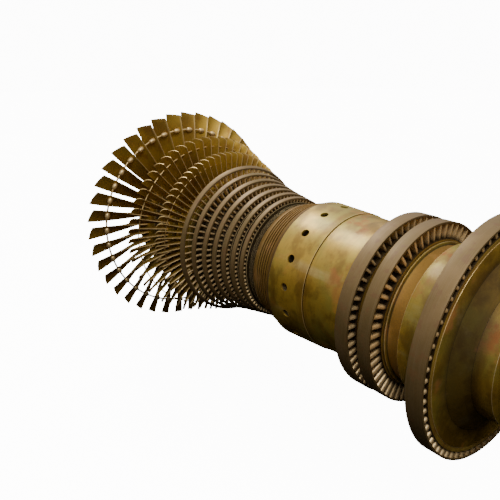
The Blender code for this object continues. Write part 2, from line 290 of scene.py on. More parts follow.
@dataclass(frozen=True)
class VarnishedForging:
    """Turned forging under a thin gold-brown film, with rust bloom, pale streaks of painted sheen, worn
    edges with a painted highlight and painted shade in its hollows.
    """

    gold: Colour = (0.43, 0.255, 0.030)
    olive: Colour = (0.29, 0.225, 0.036)
    rust: Colour = (0.28, 0.080, 0.012)
    umber: Colour = (0.15, 0.078, 0.010)
    russet: Colour = (0.19, 0.090, 0.014)
    amber: Colour = (0.44, 0.225, 0.045)
    # Pale streaks of painted sheen.
    pale_sheen: Colour = (0.62, 0.51, 0.25)
    # Painted shade: a near-black fill for the hollows about the discs and drum rows, the seal's cuts and
    # the holes.
    painted_shade: Colour = (0.020, 0.011, 0.004)
    bright: Colour = (0.75, 0.58, 0.30)
    shade_radius: tuple[float, float] = (0.375, 0.318)
    shade_end: tuple[float, float] = (2.100, 1.700)
    rows: Zone = (0.725, 0.738, 1.286, 1.292)
    seal: Zone = (1.285, 1.295, 1.485, 1.495)
    seal_start: tuple[float, float] = (1.290, 0.353)
    seal_slope: float = 0.264
    holes: Zone = (1.576, 1.582, 1.638, 1.644)
    hole_walls: tuple[float, float] = (0.399, 0.389)
    recess: Zone = (2.255, 2.262, 2.320, 2.338)

    def shade_share(self, shader: Shader, seal: Value, recess: Value) -> Value:
        """Find where painted shade lies: about the discs and drum rows, in corners, cuts and holes.

        Args:
            shader: the material under way.
            seal: how far a point lies in the seal.
            recess: how far it lies in the recess beside the second wheel.

        Returns:
            How much painted shade there is.
        """
        along, radius = shader.split()[0], shader.radius()
        end, full = (LAST_ROW_X + place for place in self.shade_end)
        deep = radius.rise(*self.shade_radius) * along.rise(end, full)
        deep = deep.most(shader.cavity() * (0.95 - 0.55 * recess))
        place, size = self.seal_start
        sunk = (along - (LAST_ROW_X + place)) * self.seal_slope + size - radius
        walls = radius.rise(*self.hole_walls) * along.within(self.holes)
        return deep.most(walls).most(sunk.rise(0.002, 0.006) * seal).most(along.within(self.rows))

    def material(self) -> bpy.types.Material:
        """Build the material.

        Returns:
            The material.
        """
        shader = Shader("varnished_forging")
        along = shader.split()[0]
        seal, recess = along.within(self.seal), along.within(self.recess)
        broad = shader.noise(3.2, 4.0)
        streaks = shader.noise(1.0, 4.0, shader.stretched(1.6, 9.0))
        colour = shader.blend(broad.rise(0.36, 0.64), self.gold, self.olive)
        # Painted sheen: pale streaks.
        colour = shader.blend(streaks.rise(0.55, 0.75) * 0.35, colour, self.pale_sheen)
        smears = shader.noise(1.0, 5.0, shader.stretched(9.0, 2.6)).rise(0.50, 0.66)
        colour = shader.blend(smears * 0.50, colour, self.russet)
        mottle = shader.noise(11.0, 6.0, shader.stretched(1.0, 0.7))
        colour = shader.blend(mottle.rise(0.45, 0.62) * 0.60, colour, self.umber)
        bloom = shader.noise(6.5, 6.0).rise(0.54, 0.68) * shader.noise(1.7, 2.0).rise(0.42, 0.58)
        colour = shader.blend(bloom * 0.75, colour, self.rust)
        fine = shader.noise(60.0, 4.0)
        colour = shader.blend(fine.rise(0.58, 0.78) * 0.25, colour, self.umber)
        rubs = shader.noise(1.0, 3.0, shader.stretched(150.0, 2.2)).rise(0.60, 0.72)
        colour = shader.blend(rubs * 0.30, colour, self.umber)
        colour = shader.blend(seal * 0.80, colour, self.russet)
        colour = shader.blend(recess * 0.75, colour, self.amber)
        # Painted shade: the hollows, the seal's cuts and the holes go near-black.
        deep = self.shade_share(shader, seal, recess)
        colour = shader.blend(deep * 0.94, colour, self.painted_shade)
        # Worn outer corners painted pale: real wear and a painted highlight, weaker in the seal.
        colour = shader.blend(shader.wear_and_painted_light() * (0.75 - 0.60 * seal), colour, self.bright)
        rings = shader.noise(1.0, 2.0, shader.stretched(900.0, 3.0))
        shader.bump(rings * 0.6 + fine * 0.4, 0.10, 0.0015)
        rough = 0.34 + 0.16 * broad.rise(0.3, 0.7) + 0.25 * bloom + 0.2 * deep
        return shader.dress(
            base_color=colour,
            metallic=0.62 - 0.45 * bloom,
            roughness=rough,
            coat_weight=0.16 - 0.15 * deep.most(bloom),
            coat_roughness=0.22,
        )


@dataclass(frozen=True)
class BladeSteel:
    """Dark bronze-coloured blade steel with pale worn edges that also stand in for highlights, and
    painted shade towards the root where a foot is given.
    """

    name: str = "blade_steel"
    olive: Colour = (0.380, 0.245, 0.030)
    brown: Colour = (0.225, 0.125, 0.019)
    golden: Colour = (0.44, 0.27, 0.040)
    bright: Colour = (0.62, 0.45, 0.21)
    russet: Colour = (0.23, 0.085, 0.018)
    # Near-black painted shade for the blade roots, where a foot is given.
    painted_shade: Colour = (0.020, 0.011, 0.004)
    count: int = 39
    rust: float = 0.25
    # Root and shroud radii: painted shade is full at the root and gone 40% of the way up.
    foot: Optional[tuple[float, float]] = None

    def material(self) -> bpy.types.Material:
        """Build the material.

        Returns:
            The material.
        """
        shader = Shader(self.name)
        _, side, height = shader.split()
        angle = height.maths("ARCTAN2", side)
        number = (angle * (self.count / math.tau)).maths("FLOOR")
        tone = shader.node("ShaderNodeTexWhiteNoise", {"noise_dimensions": "1D"}, {"W": number})
        tone = Value(shader, tone.outputs["Value"])
        broad = shader.noise(5.0, 4.0)
        colour = shader.blend(broad.rise(0.35, 0.65), self.olive, self.brown)
        colour = shader.blend(tone.rise(0.35, 1.0) * 0.35, colour, self.golden)
        spots = shader.noise(38.0, 5.0).rise(0.58, 0.72)
        colour = shader.blend(spots * self.rust, colour, self.russet)
        patches = shader.noise(13.0, 5.0).rise(0.56, 0.66)
        colour = shader.blend(patches * 0.40, colour, self.russet)
        streaks = shader.noise(1.0, 3.0, shader.stretched(70.0, 6.0)).rise(0.52, 0.72)
        colour = shader.blend(streaks * 0.30, colour, self.golden)
        # Pale edges and tips: real wear and a painted highlight.
        worn_and_lit = shader.wear_and_painted_light()
        colour = shader.blend(worn_and_lit, colour, self.bright)
        # Painted shade: darker towards the blade root, between rim and shroud.
        if self.foot:
            root, tip = self.foot
            radius = shader.radius()
            deep = radius.rise(root + (tip - root) * 0.40, root)
            deep = deep * radius.rise(root - 0.004, root - 0.0005)
            colour = shader.blend(deep * 0.93, colour, self.painted_shade)
        shader.bump(shader.noise(120.0, 4.0), 0.12, 0.001)
        return shader.dress(
            base_color=colour,
            metallic=0.70 - 0.3 * spots,
            roughness=0.47 + 0.12 * broad - 0.12 * worn_and_lit,
        )


@dataclass(frozen=True)
class ShroudSteel:
    """Tan turned bands with fine rings, bright worn corners that also stand in for highlights, and
    painted shade in hollow corners.
    """

    tan: Colour = (0.47, 0.310, 0.125)
    olive: Colour = (0.32, 0.220, 0.068)
    umber: Colour = (0.055, 0.030, 0.010)
    rust: Colour = (0.26, 0.090, 0.025)
    bright: Colour = (0.62, 0.47, 0.28)

    def material(self) -> bpy.types.Material:
        """Build the material.

        Returns:
            The material.
        """
        shader = Shader("shroud_steel")
        broad = shader.noise(4.0, 4.0)
        rings = shader.noise(1.0, 3.0, shader.stretched(420.0, 4.0))
        colour = shader.blend(broad.rise(0.35, 0.65), self.tan, self.olive)
        colour = shader.blend(rings.rise(0.46, 0.72) * 0.40, colour, self.bright)
        stain = shader.noise(22.0, 5.0).rise(0.54, 0.68)
        colour = shader.blend(stain * 0.50, colour, self.rust)
        dusk = shader.noise(1.0, 4.0, shader.stretched(30.0, 5.0)).rise(0.45, 0.70)
        # Random darker streaks, with painted shade in hollow corners.
        colour = shader.blend((dusk * 0.55).most(shader.cavity() * 0.9), colour, self.umber)
        # Bright corners: real wear and a painted highlight.
        worn_and_lit = shader.wear_and_painted_light()
        colour = shader.blend(worn_and_lit * 0.8, colour, self.bright)
        shader.bump(rings, 0.12, 0.001)
        return shader.dress(
            base_color=colour,
            metallic=0.55 - 0.2 * stain,
            roughness=0.46 + 0.14 * broad - 0.10 * worn_and_lit,
        )


@dataclass(frozen=True)
class MachinedSteel:
    """Machined coupling steel, lightly oxidised."""

    pale: Colour = (0.36, 0.31, 0.24)
    dull: Colour = (0.22, 0.17, 0.115)
    rust: Colour = (0.24, 0.10, 0.04)
    bright: Colour = (0.66, 0.60, 0.50)

    def material(self) -> bpy.types.Material:
        """Build the material.

        Returns:
            The material.
        """
        shader = Shader("machined_steel")
        broad = shader.noise(6.0, 4.0)
        rings = shader.noise(1.0, 3.0, shader.stretched(700.0, 5.0))
        colour = shader.blend(broad.rise(0.38, 0.62), self.pale, self.dull)
        stain = shader.noise(30.0, 6.0).rise(0.56, 0.68)
        colour = shader.blend(stain * 0.5, colour, self.rust)
        # Bright edges: real wear and a painted highlight.
        colour = shader.blend(shader.wear_and_painted_light() * 0.7, colour, self.bright)
        shader.bump(rings, 0.12, 0.0008)
        return shader.dress(base_color=colour, metallic=0.85 - 0.4 * stain, roughness=0.34 + 0.2 * broad)


class Form:
    """Points, faces and marks of wear, painted highlight and painted shade of a mesh under way."""

    def __init__(self) -> None:
        """Start empty."""
        self.points: list[Point] = []
        self.faces: list[tuple[int, ...]] = []
        self.wear_light_shade: list[float] = []

    def add(self, points: list[Point], wear_light_shade: Union[float, list[float]] = 0.0) -> int:
        """Add points.

        Args:
            points: the points.
            wear_light_shade: at all of them or at each, above zero how worn the metal is, painted pale as
                a highlight too, below zero how much painted shade it takes.

        Returns:
            The first point's number.
        """
        first = len(self.points)
        self.points.extend(points)
        self.wear_light_shade.extend(wear_light_shade if isinstance(wear_light_shade, list) else [wear_light_shade] * len(points))
        return first

    def strip(self, low: int, high: int, size: int, closed: bool = True) -> None:
        """Join two rows of points with faces.

        Args:
            low: the first row's first point.
            high: the second row's first point.
            size: points in a row.
            closed: whether the last point joins the first.
        """
        for index in range(size if closed else size - 1):
            after = (index + 1) % size
            self.faces.append((low + index, low + after, high + after, high + index))

    def loft(self, loops: list[list[Point]], wear_light_shade: float = 0.0, capped: bool = True) -> None:
        """Join closed loops of points, one after the other.

        Args:
            loops: the loops, all with as many points.
            wear_light_shade: above zero how worn the metal is, painted pale as a highlight too, below
                zero how much painted shade it takes.
            capped: whether the first and the last are closed; otherwise they join each other.
        """
        size = len(loops[0])
        rows = [self.add(loop, wear_light_shade) for loop in loops]
        after = rows[1:] if capped else rows[1:] + rows[:1]
        for low, high in zip(rows, after):
            self.strip(low, high, size)
        if capped:
            self.faces += [tuple(range(row, row + size)) for row in (rows[0], rows[-1])]

    def finished(self, name: str, material: bpy.types.Material, angle: float = 32.0) -> bpy.types.Object:
        """Make the object.

        Args:
            name: the piece's name.
            material: its finish.
            angle: edges sharper than this many degrees stay sharp.

        Returns:
            The object, in the scene.
        """
        mesh = bpy.data.meshes.new(name)
        mesh.from_pydata(self.points, [], self.faces)
        shape = bmesh.new()
        shape.from_mesh(mesh)
        bmesh.ops.recalc_face_normals(shape, faces=shape.faces)
        shape.to_mesh(mesh)
        shape.free()
        # Per-point mark: above zero wear with a painted highlight, below zero painted shade.
        wear_and_painted_light = mesh.attributes.new("wear_light_shade", "FLOAT", "POINT")
        wear_and_painted_light.data.foreach_set("value", self.wear_light_shade)
        mesh.materials.append(material)
        mesh.shade_smooth()
        mesh.set_sharp_from_angle(angle=math.radians(angle))
        item = bpy.data.objects.new(name, mesh)
        bpy.context.scene.collection.objects.link(item)
        return item


def on_rotor(along: float, radius: float, angle: float) -> Point:
    """Give a point of the rotor from its place behind the last row, its radius and its angle."""
    return (LAST_ROW_X + along, radius * math.cos(angle), radius * math.sin(angle))


def ring(middle: Point, first: Vector, second: Vector, sides: int) -> list[Point]:
    """Give points on a circle, from its middle and the ways to its first and its quarter point."""
    turns = [math.tau * side / sides for side in range(sides)]
    return [tuple(Vector(middle) + first * math.cos(turn) + second * math.sin(turn)) for turn in turns]


def eased(outline: Outline, size: float, closed: bool) -> list[tuple[float, float, float]]:
    """Round the corners of an outline, mark the outer ones as worn with a painted highlight and the inner
    ones for painted shade.

    Args:
        outline: the (place, radius) corners, with the metal on the right hand of the way.
        size: how far a corner is eased.
        closed: whether the last corner joins the first.

    Returns:
        The (place, radius, mark) points: above zero worn with a painted highlight, below zero painted
        shade.
    """
    result = []
    count = len(outline)
    for index, here in enumerate(outline):
        if not closed and index in (0, count - 1):
            result.append((*here, 0.0))
            continue
        corner = Vector(here)
        before = Vector(outline[index - 1]) - corner
        after = Vector(outline[(index + 1) % count]) - corner
        straight = before.angle(-after, 0.0)
        reach = min(size, before.length * 0.4, after.length * 0.4)
        if straight < 0.09 or reach < 0.00005:
            result.append((*here, 0.0))
            continue
        outer = before.x * after.y - before.y * after.x > 0.0
        first = corner + before.normalized() * reach
        last = corner + after.normalized() * reach
        middle = corner.lerp((first + last) / 2.0, 0.45)
        # Outer corners: wear with a painted highlight; inner corners: painted shade.
        wear_and_painted_light = 1.0 if outer else -1.0
        ends = 0.0 if outer else 0.8
        for spot, share in ((first, ends), (middle, 1.0), (last, ends)):
            result.append((spot.x, spot.y, wear_and_painted_light * share))
    return result


def turned(form: Form, outline: Outline, ease: float = 0.0015, closed: bool = True) -> Form:
    """Turn an outline about the shaft.

    Args:
        form: the mesh under way.
        outline: the (place, radius) corners.
        ease: how far corners are rounded.
        closed: whether the outline is a loop; otherwise it starts and ends on the axis.

    Returns:
        The mesh under way.
    """
    rows = []
    for along, radius, wear_and_painted_light in eased(outline, ease, closed):
        size = AROUND if radius > 1e-6 else 1
        circle = [on_rotor(along, radius, math.tau * step / AROUND) for step in range(size)]
        rows.append((form.add(circle, wear_and_painted_light), size))
    after = rows[1:] + rows[:1] if closed else rows[1:]
    for (low, low_size), (high, high_size) in zip(rows, after):
        if low_size == high_size:
            form.strip(low, high, AROUND)
            continue
        pole, circle = (low, high) if low_size == 1 else (high, low)
        for step in range(AROUND):
            form.faces.append((pole, circle + step, circle + (step + 1) % AROUND))
    return form


@dataclass(frozen=True)
class Station:
    """One section of a blade."""

    radius: float
    far_x: float
    near_x: float
    reach: float
    bow: float
    thickness: float
    nose: float = 0.005
    tail: float = 0.002


@dataclass
class Blading:
    """Blades of one row, lofted through bowed sections."""

    count: int
    first_angle: float
    stations: tuple[Station, ...]
    tip_drop: float = 0.0
    tip_curve: float = 1.0
    # Share of the chord from the near edge that is painted pale, for wear and a painted highlight.
    worn_lit_share: float = 0.07
    levels: tuple[float, ...] = (0.0, 0.12, 0.25, 0.38, 0.5, 0.62, 0.74, 0.85, 0.94, 0.985, 1.0)
    chord: tuple[float, ...] = (0.0, 0.012, 0.045, 0.13, 0.26, 0.42, 0.58, 0.74, 0.87, 0.96, 0.99, 1.0)
    # How pale the tips and the edges are painted, for wear and a painted highlight.
    tip_wear_and_light: float = 1.0
    edge_wear_and_light: float = 1.0

    def station_at(self, share: float) -> Station:
        """Find the section at a share of the blade's length, on a smooth curve through the stations.

        Args:
            share: the share of the length, from the root.

        Returns:
            The section's sizes.
        """
        radii = [item.radius for item in self.stations]
        radius = radii[0] + (radii[-1] - radii[0]) * share
        values = []
        for name in ("far_x", "near_x", "reach", "bow", "thickness", "nose", "tail"):
            known = [getattr(item, name) for item in self.stations]
            curve = np.polyfit(radii, known, len(radii) - 1)
            values.append(float(np.polyval(curve, radius)))
        return Station(radius, *values)

    def half_thickness(self, station: Station, share: float) -> float:
        """Find half the section's thickness.

        Args:
            station: the section's sizes.
            share: the share of the chord from the near edge.

        Returns:
            Half the thickness there.
        """
        nose, tail = station.nose / 2.0, station.tail / 2.0
        places = (0.0, 0.012, 0.045, 0.36, 0.96, 0.99, 1.0)
        halves = (0.0, 0.62 * nose, nose, station.thickness / 2.0, tail, 0.7 * tail, 0.0)
        return float(np.interp(share, places, halves))

    def section(self, station: Station, angle: float, level: float) -> tuple[list[Point], list[float]]:
        """Make one closed section.

        Args:
            station: its sizes.
            angle: the blade's angle in radians.
            level: its share of the blade's length.

        Returns:
            The points, crown side first from the near edge, and how worn each is, painted pale as a
            highlight too.
        """
        axial = station.near_x - station.far_x
        length = math.hypot(axial, station.reach)
        normal = (-station.reach / length, -axial / length)
        points, wear_light_shade = [], []
        root = self.stations[0].radius
        sides = [(share, 1.0) for share in self.chord]
        sides += [(share, -1.0) for share in reversed(self.chord[1:-1])]
        for share, side in sides:
            offset = station.bow * 4.0 * share * (1.0 - share)
            offset += side * self.half_thickness(station, share)
            along = station.near_x - axial * share + normal[0] * offset
            sideways = station.reach * (share - 0.5) + normal[1] * offset
            drop = self.tip_drop * (1.0 - share) ** self.tip_curve * (station.radius - root)
            drop /= self.stations[-1].radius - root
            radius = station.radius - drop
            points.append(on_rotor(along, radius, angle + sideways / radius))
            # Near edge, far edge and tip painted pale: wear and a painted highlight.
            worn_lit_places = (0.0, self.worn_lit_share * 0.4, self.worn_lit_share)
            near_edge = float(np.interp(share, worn_lit_places, (1.0, 0.9, 0.0)))
            far_edge = float(np.interp(share, (0.97, 1.0), (0.0, 0.7)))
            tip = float(np.interp(level, (0.98, 1.0), (0.0, 0.8))) * self.tip_wear_and_light
            wear_light_shade.append(max(self.edge_wear_and_light * max(near_edge, far_edge), tip))
        return points, wear_light_shade

    def build(self, form: Form) -> Form:
        """Add every blade to a mesh.

        Args:
            form: the mesh under way.

        Returns:
            The mesh under way.
        """
        size = 2 * len(self.chord) - 2
        stations = [self.station_at(level) for level in self.levels]
        for index in range(self.count):
            angle = math.radians(self.first_angle) + math.tau * index / self.count
            rows = []
            for level, station in zip(self.levels, stations):
                points, wear_light_shade = self.section(station, angle, level)
                rows.append(form.add(points, wear_light_shade))
            for low, high in zip(rows, rows[1:]):
                form.strip(low, high, size)
            for start, wear_and_painted_light in ((rows[0], 0.0), (rows[-1], self.tip_wear_and_light)):
                cap = form.add(form.points[start:start + size], wear_and_painted_light)
                for step in range(len(self.chord) - 1):
                    back = (size - step) % size
                    below = (size - step - 1) % size
                    corners = (cap + step, cap + step + 1, cap + below, cap + back)
                    form.faces.append(tuple(dict.fromkeys(corners)))
        return form


def settle(item: bpy.types.Object, slot: Slot, *nodes: str) -> bpy.types.Object:
    """Fix a piece to the rotor.

    Args:
        item: the piece.
        slot: the record's slot of its finish; not used.
        nodes: the solids that it stands for.

    Returns:
        The piece.
    """
    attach(item, "root")
    if nodes:
        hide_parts(*nodes)
    LOG.info("%s: %d faces", item.name, len(item.data.polygons))
    return item


def bore(item: bpy.types.Object, cutter: bpy.types.Object) -> None:
    """Cut one object out of another, for good.

    Args:
        item: the object that is kept.
        cutter: the object that is cut out of it, removed afterwards.
    """
    modifier = item.modifiers.new("holes", "BOOLEAN")
    modifier.operation = "DIFFERENCE"
    modifier.object = cutter
    modifier.solver = "EXACT"
    graph = bpy.context.evaluated_depsgraph_get()
    item.data = bpy.data.meshes.new_from_object(item.evaluated_get(graph))
    item.modifiers.clear()
    item.data.set_sharp_from_angle(angle=math.radians(32.0))
    bpy.data.objects.remove(cutter, do_unlink=True)


@dataclass
class LacingWire:
    """Wire through the blades of a free-standing row, with a boss on each blade of the last."""

    name: str
    along: float
    radius: float
    thickness: float
    boss: Optional[tuple[float, float]] = None
    boss_place: tuple[float, float] = (0.035, 0.671)
    boss_angle: float = 76.86
    count: int = 39

    def build(self, material: bpy.types.Material) -> bpy.types.Object:
        """Make the wire and its bosses.

        Args:
            material: the finish.

        Returns:
            The piece.
        """
        form = Form()
        turns = [math.tau * step / AROUND for step in range(AROUND)]
        spot = (self.along, self.radius)
        form.loft([self.across(spot, self.thickness, turn, 10) for turn in turns], 0.8, capped=False)
        if self.boss:
            for index in range(self.count):
                self.add_boss(form, math.radians(self.boss_angle) + math.tau * index / self.count)
        return settle(form.finished(self.name, material, 60.0), Slot.BLADE)

    def across(self, spot: tuple[float, float], girth: float, angle: float, sides: int) -> list[Point]:
        """Give a circle that stands across the wire.

        Args:
            spot: its middle's place along the shaft and distance from the axis.
            girth: its diameter.
            angle: its angle in radians.
            sides: how many points it has.

        Returns:
            The points.
        """
        shaft = Vector((girth / 2.0, 0.0, 0.0))
        out = Vector((0.0, math.cos(angle), math.sin(angle))) * (girth / 2.0)
        return ring(on_rotor(*spot, angle), shaft, out, sides)

    def add_boss(self, form: Form, angle: float) -> None:
        """Add one rounded boss, longer along the wire than across it.

        Args:
            form: the mesh under way.
            angle: its angle in radians.
        """
        width, length = self.boss
        radius = self.boss_place[1]
        loops = []
        steps = 9
        for step in range(1, steps):
            tilt = math.pi * step / steps
            shift = -math.cos(tilt) * length / 2.0
            girth = math.sin(tilt) ** 0.7 * width
            loops.append(self.across(self.boss_place, girth, angle + shift / radius, 14))
        form.loft(loops, 1.0)


@dataclass
class FreeRow:
    """A row of long blades that stand free on their rim."""

    node: str
    blading: Blading
    rim: tuple[float, float]
    rim_radius: float
    ring_depth: float
    wire: LacingWire

    def build(self, steel: bpy.types.Material, wire_steel: bpy.types.Material) -> None:
        """Make the blades, the rim that carries them and the wire.

        Args:
            steel: the blades' finish.
            wire_steel: the wire's finish.
        """
        blades = self.blading.build(Form()).finished(self.node + "_lofted", steel, 40.0)
        settle(blades, Slot.BLADE, self.node)
        far_x, near_x = self.rim
        foot = self.rim_radius - self.ring_depth + 0.0003
        outline = [
            (near_x, self.rim_radius),
            (far_x, self.rim_radius),
            (far_x, foot),
            (near_x, foot),
        ]
        rim = turned(Form(), outline, 0.002).finished(self.node + "_rim", steel)
        settle(rim, Slot.BLADE, self.node)
        self.wire.build(wire_steel)


@dataclass
class ShroudedRow:
    """A row of short blades under a shroud band."""

    blades_node: str
    shroud_node: str
    count: int
    root: float
    reach: float
    bow: float
    thickness: float
    nose: float
    shroud_depth: float = 0.010
    taper: float = 0.0
    rim_depth: float = 0.0
    first_angle: float = 0.0
    inset: float = 0.003

    def build(self, band: bpy.types.Material) -> None:
        """Make the blades, their root ring where they have one, and the shroud.

        Args:
            band: the shroud's finish.
        """
        low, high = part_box(self.shroud_node)
        far_x, near_x = low[0] - LAST_ROW_X, high[0] - LAST_ROW_X
        outer = high[2]
        inner = outer - self.taper - self.shroud_depth
        sizes = (far_x + self.inset, near_x - self.inset, self.reach, self.bow, self.thickness, self.nose)
        steel = BladeSteel(
            self.blades_node + "_steel",
            olive=(0.43, 0.28, 0.055),
            brown=(0.27, 0.155, 0.035),
            bright=(0.74, 0.54, 0.28),
            count=self.count,
            # Painted shade towards the blade roots, below the shroud.
            foot=(self.root, inner),
        ).material()
        tail = self.nose * 0.5
        stations = (Station(self.root - 0.002, *sizes, tail), Station(inner + 0.0005, *sizes, tail))
        blading = Blading(
            self.count,
            self.first_angle,
            stations,
            levels=(0.0, 0.5, 1.0),
            edge_wear_and_light=0.9,
            worn_lit_share=0.5,
        )
        form = blading.build(Form())
        settle(form.finished(self.blades_node + "_lofted", steel, 40.0), Slot.BLADE, self.blades_node)
        if self.rim_depth:
            foot = self.root - self.rim_depth + 0.0003
            outline = [(near_x - 0.002, self.root), (far_x + 0.002, self.root)]
            outline += [(far_x + 0.002, foot), (near_x - 0.002, foot)]
            rim = turned(Form(), outline).finished(self.blades_node + "_rim", steel)
            settle(rim, Slot.BLADE, self.blades_node)
        outline = [(near_x, outer - self.taper), (far_x, outer), (far_x, inner), (near_x, inner)]
        shroud = turned(Form(), outline, 0.0012).finished(self.shroud_node + "_band", band)
        settle(shroud, Slot.SHROUD, self.shroud_node)


@dataclass
class Forging:
    """The forging: both shaft ends, the discs, the drums and the ridged seal."""

    lp_body: float = 0.275
    exhaust_end: tuple[float, float, float] = (-0.620, -0.600, -0.330)
    exhaust_radii: tuple[float, float, float] = (0.098, 0.110, 0.135)
    drum_rows: tuple[tuple[float, float, float], ...] = (
        (0.738, 0.763, 0.403),
        (0.816, 0.841, 0.392),
        (0.897, 0.922, 0.383),
        (0.975, 1.003, 0.375),
        (1.052, 1.080, 0.368),
        (1.127, 1.153, 0.361),
        (1.198, 1.223, 0.353),
    )
    groove_depth: float = 0.034
    dark_groove: float = 0.322
    fins: tuple[float, ...] = (1.246, 1.255, 1.264, 1.273, 1.282)
    fin_radius: float = 0.345
    seal_x: tuple[float, float] = (1.290, 1.487)
    seal_radii: tuple[float, float] = (0.353, 0.405)
    seal_cuts: tuple[float, ...] = (1.337, 1.3622, 1.3874, 1.4126, 1.4378)
    cut_size: tuple[float, float] = (0.0105, 0.012)
    first_drum: tuple[float, float, float, float] = (1.487, 1.742, 0.409, 0.397)
    second_drum: tuple[float, float, float, float] = (1.746, 2.016, 0.3915, 0.376)
    third_drum: tuple[float, float, float, float] = (2.335, 2.500, 0.384, 0.395)
    wheel_rims: tuple[tuple[float, float, float], ...] = (
        (2.038, 2.115, 0.376),
        (2.172, 2.242, 0.356),
        (2.517, 2.600, 0.511),
    )
    hole_count: int = 16
    hole_place: tuple[float, float, float] = (1.610, 84.74, 0.0225)
    hole_depth: float = 0.060

    def exhaust_end_outline(self) -> Outline:
        """Outline the shaft from its exhaust end to the last disc.

        Returns:
            The (place, radius) corners.
        """
        end, start, stop = self.exhaust_end
        small, journal, seal = self.exhaust_radii
        points = [(end, 0.0), (end, small), (start, journal), (stop, journal), (stop + 0.006, seal)]
        for index in range(5):
            place = stop + 0.030 + 0.034 * index
            points += [(place, seal), (place + 0.003, seal - 0.008), (place + 0.008, seal - 0.008)]
            points.append((place + 0.011, seal))
        points += [(-0.110, seal), (-0.080, 0.190)]
        return points

    def disc_outline(self, row: FreeRow) -> Outline:
        """Outline one disc.

        Args:
            row: the free-standing row that it carries.

        Returns:
            The (place, radius) corners.
        """
        far_x, near_x = row.rim
        rim = row.rim_radius - row.ring_depth
        flare = 0.010
        return [
            (far_x - flare, self.lp_body),
            (far_x, rim),
            (near_x, rim),
            (near_x + flare, self.lp_body),
        ]

    def drum_outline(self) -> Outline:
        """Outline the rims of the shrouded rows.

        Returns:
            The (place, radius) corners.
        """
        points = []
        for index, (far_x, near_x, root) in enumerate(self.drum_rows):
            low = root - self.groove_depth
            points.append((far_x - 0.004, self.lp_body) if index == 0 else (far_x - 0.001, low))
            points += [(far_x - 0.001, root), (near_x + 0.003, root)]
            if index < len(self.drum_rows) - 1:
                points.append((near_x + 0.003, low))
        return points

    def seal_outline(self) -> Outline:
        """Outline the ridged seal.

        Returns:
            The (place, radius) corners.
        """
        start, stop = self.seal_x
        width, depth = self.cut_size
        points = [(self.drum_rows[-1][1] + 0.003, self.dark_groove)]
        for place in self.fins:
            points += [(place - 0.0012, self.dark_groove), (place - 0.0008, self.fin_radius)]
            points += [(place + 0.0008, self.fin_radius), (place + 0.0012, self.dark_groove)]
        points += [(start, self.dark_groove), (start, self.seal_radii[0])]
        slope = (self.seal_radii[1] - self.seal_radii[0]) / (stop - start)
        for place in self.seal_cuts:
            radius = self.seal_radii[0] + slope * (place - start)
            points += [(place - width / 2.0, radius), (place - width * 0.25, radius - depth)]
            points += [(place + width * 0.25, radius - depth), (place + width / 2.0, radius)]
        return points

    def smooth_outline(self) -> Outline:
        """Outline the smooth drums and the discs of the wheels.

        Returns:
            The (place, radius) corners.
        """
        first, second, third = self.first_drum, self.second_drum, self.third_drum
        wheel_a, wheel_b, wheel_c = self.wheel_rims
        return [
            (first[0], self.seal_radii[1]),
            (first[0] + 0.002, first[2]),
            *self.hole_band(),
            (first[1], first[3]),
            (first[1], second[2] - 0.003),
            (second[0], second[2] - 0.003),
            (second[0], second[2]),
            (second[1], second[3]),
            (wheel_a[0], wheel_a[2]),
            (wheel_a[1], wheel_a[2]),
            (wheel_a[1] + 0.010, 0.335),
            (wheel_b[0] - 0.018, 0.335),
            (wheel_b[0], wheel_b[2]),
            (wheel_b[1], wheel_b[2]),
            (wheel_b[1] + 0.006, 0.368),
            (wheel_b[1] + 0.011, 0.368),
            (wheel_b[1] + 0.013, 0.352),
            (third[0] - 0.016, 0.348),
            (third[0], third[2]),
            (third[1], third[3]),
            (wheel_c[0] - 0.004, 0.440),
            (wheel_c[0], wheel_c[2]),
            (wheel_c[1], wheel_c[2]),
            (wheel_c[1] + 0.004, 0.420),
            (wheel_c[1] + 0.060, 0.330),
        ]

    def hole_band(self) -> Outline:
        """Give the two circles that bound the strip of the balance holes.

        Returns:
            The (place, radius) corners.
        """
        start, stop, start_radius, stop_radius = self.first_drum
        place, _, size = self.hole_place
        slope = (stop_radius - start_radius) / (stop - start)
        edges = (place - size - 0.003, place + size + 0.003)
        return [(edge, start_radius + slope * (edge - start)) for edge in edges]

    def inlet_end_outline(self) -> Outline:
        """Outline the shaft from the last wheel to the coupling's face.

        Returns:
            The (place, radius) corners.
        """
        face = -LAST_ROW_X
        points = [(face - 1.250, 0.330), (face - 1.220, 0.215)]
        for index in range(12):
            place = face - 1.195 + 0.032 * index
            top = 0.228 if 4 <= index < 8 else 0.215
            points += [(place, top), (place + 0.018, top), (place + 0.022, 0.207), (place + 0.028, 0.207)]
        points += [(face - 0.800, 0.215), (face - 0.794, 0.140), (face - 0.202, 0.140)]
        points += [(face - 0.202, 0.125), (face, 0.125), (face, 0.0)]
        return points

    def hole_cutter(self, material: bpy.types.Material) -> bpy.types.Object:
        """Make the blind radial holes of the first smooth drum.

        Args:
            material: the finish that the holes' walls take.

        Returns:
            The cutter.
        """
        form = Form()
        place, start, size = self.hole_place
        heights = (self.first_drum[3] - self.hole_depth, self.first_drum[2] + 0.020)
        shaft = Vector((size, 0.0, 0.0))
        for index in range(self.hole_count):
            angle = math.radians(start) + math.tau * index / self.hole_count
            aside = Vector((0.0, -math.sin(angle), math.cos(angle))) * size
            form.loft([ring(on_rotor(place, height, angle), shaft, aside, 28) for height in heights])
        return form.finished("balance_holes", material)

